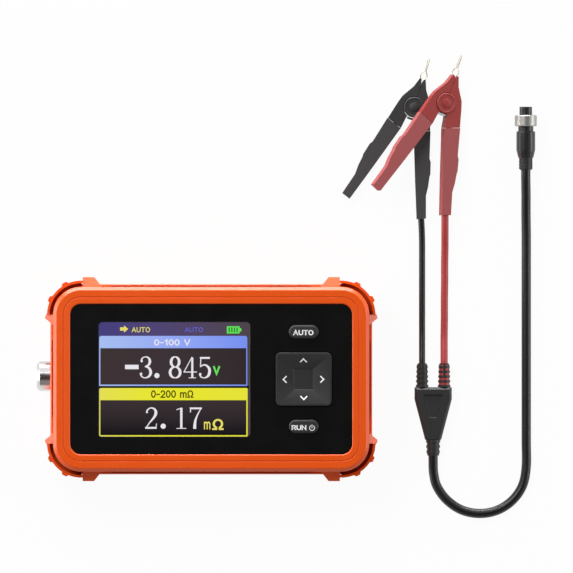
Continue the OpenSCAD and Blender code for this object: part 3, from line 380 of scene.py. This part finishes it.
# Soft edges on the moulded solids, by their width in millimetres
EDGE_WIDTHS = {
    "front_frame": 0.15, "auto_key": 0.2, "run_key": 0.2, "direction_pad": 0.2, "plug_body": 0.12,
    "splitter": 0.3, "main_board": 0.1,
}
EDGE_WIDTHS.update({
    f"{colour}_{part}": 0.06
    for colour in ("black", "red") for part in ("jaw_fixed", "jaw_moving", "grip_fixed", "grip_moving")
})
SHARP = math.radians(35)  # edges that turn by more than this stay sharp, or are rounded
FLAT = math.radians(0.5)  # faces that turn by less than this become one


def soften(node, width, clamped):
    """Joins a solid's loose triangles, and rounds its sharp edges where a width is given."""
    node.data.polygons.foreach_set("use_smooth", np.ones(len(node.data.polygons), bool))
    weld = node.modifiers.new("weld", "WELD")
    weld.merge_threshold = 0.001 * MM
    if width:
        flat = node.modifiers.new("flat", "DECIMATE")
        flat.decimate_type = "DISSOLVE"
        flat.angle_limit = FLAT
        bevel = node.modifiers.new("bevel", "BEVEL")
        bevel.width = width
        bevel.segments = 3
        bevel.limit_method = "ANGLE"
        bevel.angle_limit = SHARP
        bevel.use_clamp_overlap = clamped
        bevel.miter_outer = "MITER_ARC"
    split = node.modifiers.new("split", "EDGE_SPLIT")
    split.split_angle = SHARP
    weight = node.modifiers.new("weight", "WEIGHTED_NORMAL")
    weight.keep_sharp = True


for node_name, node in nodes.items():
    soften(node, EDGE_WIDTHS.get(node_name, 0) * MM, clamped="jaw" in node_name)


# New pieces
def add_mesh(name, points, faces, material):
    """An object in the scene with a mesh of those points and faces, in that material."""
    mesh = bpy.data.meshes.new(name)
    mesh.from_pydata(np.array(points, float).tolist(), [], faces)
    mesh.materials.append(material)
    return add_object(name, mesh)


def add_piece(name, points, faces, material, body):
    """A new piece in that material, on a body."""
    piece = add_mesh(name, points, faces, material)
    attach(piece, body)


def add_prism(name, first, last, slot):
    """A solid between two rings of points: a quad from ring to ring at each side, and two flat ends."""
    count = len(first)
    faces = [(i, i + count, (i + 1) % count + count, (i + 1) % count) for i in range(count)]
    faces += [tuple(range(count)), tuple(range(2 * count - 1, count - 1, -1))]
    add_piece(name, np.vstack([first, last]), faces, MATERIALS[slot], "root")


# Parting line of the black jaws: its two ends, then the half width and the heights of the dark strip that
# fills it as painted shade
JAW_LINE = (np.array((80.35, 113.1)) * MM, np.array((78.25, 107.0)) * MM)
SHADE_STRIP_HALF = 0.13 * MM
SHADE_STRIP_Z = (0.3 * MM, 2.4 * MM)
# The red relief's inner sleeve, just over the floor of its grooves: place along Y and radius
RELIEF_CORE = ((-2.6 * MM, 2.12 * MM), (5.3 * MM, 1.86 * MM))
SLEEVE_SIDES = 32


def add_jaw_gap_shade_strip():
    """Painted shade in the parting line of the black jaws: a thin strip of the clip's black plastic between
    two points, standing on edge, that makes the gap read dark.
    """
    start, end = JAW_LINE
    along = (end - start) / np.linalg.norm(end - start)
    side = np.array((-along[1], along[0])) * SHADE_STRIP_HALF
    ring = np.array([start - side, start + side, end + side, end - side])
    low, high = (np.column_stack([ring, np.full(4, z)]) for z in SHADE_STRIP_Z)
    add_prism("black_jaw_liner", low, high, "clip_black")


def add_inner_sleeve():
    """Red inner sleeve that shows in the grooves of the red wire's relief: a cone between two rings."""
    axis_x, _, axis_z = np.array(RED_ROUTE[-1]) * MM
    t = np.linspace(0, 2 * np.pi, SLEEVE_SIDES, endpoint=False)
    first, last = (
        np.column_stack([axis_x + r * np.cos(t), np.full(SLEEVE_SIDES, y), axis_z + r * np.sin(t)])
        for y, r in RELIEF_CORE
    )
    add_prism("red_inner_sleeve", first, last, "cable_red")


# Marks and lettering: flat ribbons, laid out in pixels of the photograph
def arc(cx, cy, rx, ry, start, end, steps=16):
    """Points on an ellipse from one angle to another, in degrees."""
    t = np.radians(np.linspace(start, end, steps))
    return np.column_stack([cx + rx * np.cos(t), cy + ry * np.sin(t)])


def joined(*parts):
    """One stroke from several runs of points."""
    return np.vstack([np.array(part, float) for part in parts])


def ribbon(points, half_width, caps=True):
    """Quads along a stroke: mitred corners, and square ends half a width beyond its last points."""
    p = np.array(points, float)
    w = np.broadcast_to(np.array(half_width, float), len(p)).copy()
    closed = np.allclose(p[0], p[-1])
    step = np.diff(p, axis=0)
    step /= np.maximum(np.linalg.norm(step, axis=1), 1e-9)[:, None]
    if closed:
        before, after = np.vstack([step[-1:], step]), np.vstack([step, step[:1]])
    else:
        before, after = np.vstack([step[:1], step]), np.vstack([step, step[-1:]])
        if caps:
            p[0] -= step[0] * w[0]
            p[-1] += step[-1] * w[-1]
    normal = before + after
    normal = np.column_stack([-normal[:, 1], normal[:, 0]])
    normal /= np.maximum(np.linalg.norm(normal, axis=1), 1e-9)[:, None]
    side = np.column_stack([-before[:, 1], before[:, 0]])
    reach = w / np.maximum((normal * side).sum(1), 0.4)
    left, right = p + normal * reach[:, None], p - normal * reach[:, None]
    return [np.array([left[i], right[i], right[i + 1], left[i + 1]]) for i in range(len(p) - 1)]


def disc(x, y, r):
    """A round dot."""
    return arc(x, y, r, r, 0, 345, 24)


def rounded(x0, y0, x1, y1, radii):
    """A rectangle in pixels with a radius at each corner, clockwise from the top left."""
    corners = ((x0, y0, 1, 1, 180), (x1, y0, -1, 1, 270), (x1, y1, -1, -1, 0), (x0, y1, 1, -1, 90))
    return np.vstack([
        arc(x + sx * r, y + sy * r, r, r, start, start + 90, 7) if r else np.array([(x, y)])
        for (x, y, sx, sy, start), r in zip(corners, radii)
    ])


def boxed(x0, y0, x1, y1):
    """A rectangle in pixels with square corners."""
    return rounded(x0, y0, x1, y1, (0, 0, 0, 0))


# Plain letters: the width of each and its strokes, one unit high
PLAIN = {
    "A": (0.8, [[(0, 0), (0.4, 1), (0.8, 0)], [(0.17, 0.33), (0.63, 0.33)]]),
    "U": (0.7, [joined([(0, 1)], arc(0.35, 0.33, 0.35, 0.33, 180, 360), [(0.7, 1)])]),
    "T": (0.7, [[(0, 1), (0.7, 1)], [(0.35, 1), (0.35, 0)]]),
    "O": (0.8, [arc(0.4, 0.5, 0.4, 0.5, 0, 360, 25)]),
    "R": (0.65, [joined([(0, 0), (0, 1), (0.32, 1)], arc(0.36, 0.74, 0.27, 0.26, 80, -80), [(0.05, 0.48)]),
                 [(0.35, 0.44), (0.65, 0)]]),
    "N": (0.7, [[(0, 0), (0, 1), (0.7, 0), (0.7, 1)]]),
    "V": (0.75, [[(0, 1), (0.375, 0), (0.75, 1)]]),
    "m": (0.9, [[(0, 0), (0, 0.68)], joined(arc(0.225, 0.5, 0.225, 0.2, 170, 0), [(0.45, 0)]),
                joined(arc(0.675, 0.5, 0.225, 0.2, 180, 0), [(0.9, 0)])]),
    "Ω": (0.85, [joined([(0, 0), (0.26, 0)], arc(0.425, 0.56, 0.38, 0.44, 243, -63, 25),
                        [(0.6, 0), (0.85, 0)])]),
    "0": (0.6, [arc(0.3, 0.5, 0.3, 0.5, 0, 360, 25)]),
    "1": (0.35, [[(0.05, 0.78), (0.28, 1), (0.28, 0)]]),
    "2": (0.6, [joined(arc(0.3, 0.7, 0.29, 0.3, 165, -40), [(0, 0), (0.6, 0)])]),
    "-": (0.4, [[(0, 0.45), (0.4, 0.45)]]),
    " ": (0.3, []),
}
LETTER_GAP = 0.28


def plain_text(text, weight):
    """Quads of a line of plain letters, one unit high, with strokes of that half width."""
    quads, x = [], 0.0
    for letter in text:
        width, strokes = PLAIN[letter]
        for stroke in strokes:
            quads += ribbon(np.array(stroke, float) + (x, 0), weight)
        x += width + LETTER_GAP
    return quads


def swelling(*rows):
    """A curved stroke through points that each have their own half width."""
    line = smooth_line(rows, 5)
    return ribbon(line[:, :2], line[:, 2], caps=False)


def swelling_loop(cx, cy, rx, ry, points=33):
    """An oval stroke that is thick at its sides and thin at its top and foot."""
    swell = 0.022 + 0.045 * np.abs(np.cos(np.linspace(0, 2 * np.pi, points)))
    return ribbon(arc(cx, cy, rx, ry, 0, 360, points), swell)


# Figures of the display, one unit high, with thick and thin strokes
FIGURES = {
    "1": ribbon([(0.32, 0), (0.32, 0.98)], 0.05, caps=False)
    + ribbon([(0.32, 0.97), (0.13, 0.9)], 0.022)
    + ribbon([(0.13, 0.012), (0.52, 0.012)], 0.018),
    "2": swelling((0.09, 0.74, 0.05), (0.11, 0.88, 0.035), (0.28, 0.985, 0.028), (0.47, 0.92, 0.05),
                  (0.53, 0.75, 0.07), (0.45, 0.55, 0.055), (0.22, 0.28, 0.03), (0.06, 0.06, 0.022))
    + ribbon([(0.05, 0.035), (0.52, 0.035)], 0.045)
    + ribbon([(0.53, 0.05), (0.56, 0.22)], 0.02),
    "3": swelling((0.1, 0.8, 0.05), (0.14, 0.92, 0.03), (0.3, 0.985, 0.025), (0.46, 0.93, 0.045),
                  (0.52, 0.77, 0.065), (0.45, 0.61, 0.05), (0.27, 0.535, 0.022))
    + swelling((0.27, 0.535, 0.022), (0.47, 0.47, 0.05), (0.56, 0.28, 0.07), (0.48, 0.09, 0.05),
               (0.28, 0.015, 0.025), (0.12, 0.07, 0.03), (0.06, 0.2, 0.05))
    + [disc(0.11, 0.79, 0.06), disc(0.08, 0.2, 0.06)],
    "4": ribbon([(0.42, 0), (0.42, 0.98)], 0.05, caps=False)
    + ribbon([(0.4, 0.99), (0.02, 0.3)], 0.022)
    + ribbon([(0.02, 0.29), (0.62, 0.29)], 0.024)
    + ribbon([(0.26, 0.012), (0.58, 0.012)], 0.018),
    "5": ribbon([(0.12, 0.96), (0.52, 0.96)], 0.045)
    + ribbon([(0.12, 0.97), (0.1, 0.55)], 0.024)
    + swelling((0.1, 0.53, 0.022), (0.2, 0.61, 0.03), (0.36, 0.62, 0.04), (0.52, 0.48, 0.06),
               (0.55, 0.3, 0.07), (0.48, 0.11, 0.055), (0.3, 0.015, 0.025), (0.13, 0.06, 0.03),
               (0.07, 0.18, 0.05))
    + [disc(0.09, 0.19, 0.06)],
    "7": ribbon([(0.08, 0.96), (0.56, 0.96)], 0.04)
    + ribbon([(0.08, 0.97), (0.07, 0.8)], 0.024)
    + swelling((0.56, 0.96, 0.02), (0.4, 0.66, 0.032), (0.3, 0.4, 0.052), (0.27, 0.15, 0.068),
               (0.27, 0.02, 0.07)),
    "8": swelling_loop(0.3, 0.75, 0.2, 0.235) + swelling_loop(0.3, 0.265, 0.25, 0.25),
}


def fitted(shapes, x0, y0, x1, y1):
    """Shapes with Y up, laid into a box of the photograph's pixels."""
    every = np.vstack(shapes)
    low, span = every.min(0), np.ptp(every, axis=0)
    return [np.column_stack([x0 + (s[:, 0] - low[0]) / span[0] * (x1 - x0),
                             y1 - (s[:, 1] - low[1]) / span[1] * (y1 - y0)]) for s in shapes]


def words(text, weight, *box):
    """A line of plain letters in a box of pixels."""
    return fitted(plain_text(text, weight), *box)


def figures(*rows):
    """Figures of the display, each in its own box of pixels."""
    return [shape for figure, *box in rows for shape in fitted(FIGURES[figure], *box)]


def facing_up(shape):
    """A shape's points on the face, in metres, in the order that turns its flat side up.

    Anticlockwise is up, and there the area summed from point to point is above nought.
    """
    x, y = spot(shape[:, 0], shape[:, 1])
    area = (x * np.roll(y, -1) - y * np.roll(x, -1)).sum()
    ring = np.column_stack([x, y])
    return ring if area > 0 else ring[::-1]


def add_marks(name, shapes, height, material, body):
    """Flat shapes, given in pixels, as one piece. height is a number, or a function of X and Y, in metres."""
    rings = [facing_up(shape) for shape in shapes]
    x, y = np.vstack(rings).T
    z = height(x, y) if callable(height) else np.full(len(x), height)
    ends = np.cumsum([len(ring) for ring in rings])
    faces = [tuple(range(end - len(ring), end)) for ring, end in zip(rings, ends)]
    add_piece(name, np.column_stack([x, y, z]), faces, material, body)


# The display
def glowing(name, code):
    """A lit part of the display."""
    f = new_finish(name)
    return f.finish_with(f.node("ShaderNodeEmission", sockets={"Color": (*srgb(code), 1), "Strength": 1.0}))


def lit_ramp(name, start, end, *stops, down=False):
    """A lit band whose colour runs along X, or down the face, from one pixel of the photograph to another."""
    f = new_finish(name)
    axis = 1 if down else 0
    along = f.node("ShaderNodeSeparateXYZ", None, f.place(), out=axis)
    share = f.node("ShaderNodeMapRange", None, along, spot(start, start)[axis], spot(end, end)[axis])
    ramp = f.node("ShaderNodeValToRGB", {"stops": [(at, srgb(code)) for at, code in stops]}, share)
    return f.finish_with(f.node("ShaderNodeEmission", sockets={"Color": ramp, "Strength": 1.0}))


IMAGE_Z = 25.915 * MM  # the picture lies on the display module, under the window
LAYER = 0.004 * MM
HEADER_ARROW = np.array([
    (120, 327.3), (124, 327.3), (124, 325.4), (128.2, 329), (124, 332.6), (124, 330.7), (120, 330.7),
])
BAR_STEP = 2.6  # pixels from one bar of the battery sign to the next


def add_screen():
    """What the display shows, in thin layers: its two framed readings, under a narrow header. The lower
    reading's dark field also carries a painted reflection, darker towards its foot.
    """
    layers = [
        ("display_base",
         lit_ramp("lit_header", 99, 250, (0, "4A4384"), (0.35, "54497A"), (0.75, "55495F"), (1, "52484C")),
         [rounded(98.9, 322.3, 249.9, 436.6, (3.4, 3.4, 1.5, 2))]),
        ("display_gap",
         glowing("lit_black", "151216"),
         [boxed(98.9, 385.8, 249, 388)]),
        ("display_blue",
         lit_ramp("lit_blue", 99, 247, (0, "AFC8FB"), (0.5, "9DB2FF"), (1, "7C97FA")),
         [rounded(99.2, 335.9, 247.3, 386, (2.3, 2.3, 0.8, 0.8))]),
        ("display_yellow",
         lit_ramp("lit_yellow", 99, 247, (0, "EFEA55"), (0.4, "F4F22E"), (1, "F1ED3C")),
         [rounded(99.2, 388, 247.6, 436.5, (2.3, 1.2, 0.8, 1.6))]),
        ("display_dark",
         lit_ramp("lit_dark", 99, 247, (0, "413637"), (0.45, "40363A"), (1, "352D2F")),
         [boxed(100.3, 348.2, 246.2, 384.6)]),
        # The lower reading's dark field, darker towards its foot: the field is the display's own, and the
        # darkening is a painted reflection in the window
        ("display_shade",
         lit_ramp("lit_shade", 402, 434, (0, "3D3335"), (0.5, "322B2E"), (1, "1A171B"), down=True),
         [boxed(100.3, 400.2, 246.3, 435.2)]),
        ("display_figures",
         glowing("lit_white", "F4F2F6"),
         [boxed(125, 364.8, 138.6, 369.2), disc(156.9, 375.6, 2.6), disc(163.2, 426.2, 2.6)]
         + figures(("3", 139.7, 356.3, 152.1, 378.4), ("8", 168.7, 356.3, 181.5, 378.4),
                   ("4", 183.4, 356.8, 196.9, 378.2), ("5", 198.9, 357, 211, 378.4),
                   ("2", 145.2, 407.3, 157.3, 428.8), ("1", 176.3, 407.5, 186.3, 428.8),
                   ("7", 189.8, 407.5, 201.8, 428.9))
         + words("0-100 V", 0.1, 154, 338.7, 190.5, 346.3)),
        ("display_green",
         glowing("lit_green", "6CEB62"),
         words("V", 0.14, 212.8, 365.8, 220.3, 376.2)
         + [boxed(226.8, 326.2, 239.6, 333.5), boxed(239.6, 328.3, 241.4, 331.4)]),
        ("display_battery",
         glowing("lit_battery", "2A8F2C"),
         [boxed(228.6 + BAR_STEP * i, 327.5, 229.9 + BAR_STEP * i, 332.2) for i in range(4)]),
        ("display_unit",
         glowing("lit_unit", "F2E66A"),
         words("m", 0.09, 203.8, 421.6, 210.4, 429.4) + words("Ω", 0.1, 212.2, 418.9, 223.6, 430)
         + [HEADER_ARROW] + words("AUTO", 0.09, 131.5, 326.6, 150, 332.4)),
        ("display_standby",
         glowing("lit_standby", "6A6AD8"),
         words("AUTO", 0.08, 184.5, 326.8, 203, 332.2)),
        ("display_range",
         glowing("lit_range", "4A4210"),
         words("0-200 mΩ", 0.1, 151, 390.2, 193.5, 397.9)),
    ]
    for i, (name, material, shapes) in enumerate(layers):
        add_marks(name, shapes, IMAGE_Z + i * LAYER, material, "root")


# The keys and the pad
KEY_MARK_Z = 28.215 * MM  # just over the tops of the keys
PAD_X, PAD_Y = 35.15 * MM, 0.0
PAD_FLOOR = 27.12 * MM  # height of the marks on the flat middle of the pad's top
PAD_DISH = 1.1 * MM  # how much higher its rims are
PAD_FLAT = (3.65 * MM, 3.95 * MM)  # half the size of the flat middle
PAD_SLOPE = (6.0 * MM, 5.25 * MM)  # width of the slopes round it
# Middle of each arrow head in pixels, and its turn in degrees from pointing up
ARROW_HEADS = ((303.4, 360.3, 0), (284.7, 379.4, -90), (322.2, 379.3, 90), (303.8, 398, 180))


def on_dish(x, y):
    """Height on the pad's dished top: flat in the middle, then rising evenly to the rims."""
    across = (np.abs(x - PAD_X) - PAD_FLAT[0]) / PAD_SLOPE[0]
    along = (np.abs(y - PAD_Y) - PAD_FLAT[1]) / PAD_SLOPE[1]
    return PAD_FLOOR + PAD_DISH * np.clip(np.maximum(across, along), 0, 1)


def arrow_head(x, y, turn):
    """An open arrow head at a pixel, turned by that many degrees from pointing up."""
    c, s = math.cos(math.radians(turn)), math.sin(math.radians(turn))
    quads = ribbon([(-2.9, 1.5), (0, -1.5), (2.9, 1.5)], 0.6)
    return [np.column_stack([x + q[:, 0] * c - q[:, 1] * s, y + q[:, 0] * s + q[:, 1] * c]) for q in quads]


def power_sign(x, y):
    """A ring that is open at its top, with a short bar in the gap."""
    return ribbon(arc(x, y, 2.5, 2.5, -55, 235, 20), 0.33) + ribbon([(x, y - 3), (x, y - 0.1)], 0.33)


def add_key_marks():
    """Plain white words for what the keys do, and the four arrow heads of the pad."""
    ink = moulded("white_ink", "F6F6F6", 0.5, mottle=0.01)
    add_marks("auto_key_mark", words("AUTO", 0.12, 292.9, 329.2, 313.5, 335.4), KEY_MARK_Z, ink,
              "auto_key")
    add_marks("run_key_mark", words("RUN", 0.12, 291.6, 424.5, 306.4, 430.7) + power_sign(312, 427.9),
              KEY_MARK_Z, ink, "run_key")
    add_marks("pad_marks", [quad for row in ARROW_HEADS for quad in arrow_head(*row)], on_dish, ink,
              "pad")


add_screen()
add_key_marks()
add_jaw_gap_shade_strip()
add_inner_sleeve()

# Floor and light
FLOOR_HALF = 3.0
FLOOR_Z = -0.05 * MM  # just under the tester
FLOOR_GLOW = 1.02
FLOOR_OWN_WHITE = 0.93  # share of the floor's white that no shadow reaches
SKY_STRENGTH = 0.9
# Brightness of the studio by the sine of the elevation: dark overhead, where the camera is
SKY = ((0.0, 1.0), (0.3, 1.0), (0.78, 0.95), (0.9, 0.12), (1.0, 0.02))
# Its brightness from the near side of the table, at 0, to the far side, at 1
SKY_SIDE = ((0.0, 0.22), (0.5, 0.6), (0.8, 1.0), (1.0, 1.15))
# The white backdrop ends between these sines of the elevation
BACKDROP_TOP, BACKDROP_FADE = 0.35, 0.15
# Softboxes: place, the point that it faces, size, power, and whether it lights the floor too
SOFTBOXES = (
    ("rim_softbox", (-0.1, 1.2, 0.1), (0.02, 0, 0.02), (1.5, 0.3), 28, False),
    ("side_softbox", (-1.2, 0.15, 0.12), (0.02, 0, 0.02), (1.0, 0.3), 8, False),
    ("right_softbox", (1.25, 0.1, 0.3), (0.02, 0, 0.02), (0.8, 0.3), 4, False),
    ("key_softbox", (-0.5, 0.6, 1.1), (0.03, 0.02, 0), (0.6, 0.6), 7.5, True),
)


def floor_finish():
    """White floor: most of its white is its own, so that the shadow on it stays faint."""
    f = new_finish("floor")
    matt = f.node("ShaderNodeBsdfDiffuse", sockets={"Color": (0.8, 0.8, 0.8, 1)})
    glow = f.node("ShaderNodeEmission", sockets={"Color": WHITE, "Strength": FLOOR_GLOW})
    seen = sum(f.outputs("ShaderNodeLightPath", WHITE_RAYS))
    return f.finish_with(f.node("ShaderNodeMixShader", None, seen * FLOOR_OWN_WHITE, matt, glow))


def add_floor():
    """A wide square floor."""
    corners = [(x * FLOOR_HALF, y * FLOOR_HALF, FLOOR_Z) for x, y in ((-1, -1), (1, -1), (1, 1), (-1, 1))]
    floor = add_mesh("floor", corners, [(0, 1, 2, 3)], floor_finish())
    return floor


def add_softbox(name, place, aim, size, power):
    """A rectangular softbox at a place, turned towards a point."""
    lamp = bpy.data.lights.new(name, "AREA")
    lamp.shape = "RECTANGLE"
    lamp.size, lamp.size_y = size
    lamp.energy = power
    z = np.subtract(place, aim)
    z = z / np.linalg.norm(z)
    x = np.cross((0, 0, 1), z)
    x = x / np.linalg.norm(x)
    body = add_object(name, lamp)
    axes = np.column_stack([x, np.cross(z, x), z, place])
    body.matrix_world = Matrix(np.vstack([axes, (0, 0, 0, 1)]).tolist())
    return body


def keep_off(lamp, stage_piece):
    """Leaves a stage piece out of what a lamp lights."""
    lit = bpy.data.collections.new(lamp.name + "_receivers")
    lit.objects.link(stage_piece)
    lamp.light_linking.receiver_collection = lit
    lit.collection_objects[0].light_linking.link_state = "EXCLUDE"


def grey_ramp(f, stops, factor):
    """A grey that runs through those stops."""
    return f.node("ShaderNodeValToRGB", {"stops": [(at, (k, k, k)) for at, k in stops]}, factor)


def studio_sky():
    """Soft light from the far side, less from the near side and none from straight overhead.

    The camera sees white instead, and so do metal and glass wherever they mirror the low part
    of the world, where the backdrop is. Overhead they mirror the dark that the photo has there.
    """
    f = Finish(bpy.data.worlds.new("studio"))
    way = f.node("ShaderNodeTexCoord", out="Generated")
    side, height = f.outputs("ShaderNodeSeparateXYZ", ("Y", "Z"), way)
    upward, across = grey_ramp(f, SKY, height), grey_ramp(f, SKY_SIDE, 0.5 + 0.5 * side)
    light = f.mixed(1.0, upward, across, blend="MULTIPLY")
    camera_ray, glossy_ray, transmission_ray = f.outputs("ShaderNodeLightPath", WHITE_RAYS)
    low = f.node("ShaderNodeMapRange", None, height, BACKDROP_TOP, BACKDROP_FADE)
    seen = camera_ray + low * (glossy_ray + transmission_ray)
    studio = f.node("ShaderNodeBackground", sockets={"Color": light, "Strength": SKY_STRENGTH})
    white = f.node("ShaderNodeBackground", sockets={"Color": WHITE, "Strength": 1.0})
    shader = f.node("ShaderNodeMixShader", None, seen, studio, white)
    bpy.context.scene.world = f.finish_with(shader, "ShaderNodeOutputWorld")


def light_scene(floor):
    """The studio's sky, and the softboxes."""
    studio_sky()
    for name, place, aim, size, power, on_floor in SOFTBOXES:
        lamp = add_softbox(name, place, aim, size, power)
        if not on_floor:
            keep_off(lamp, floor)


light_scene(add_floor())
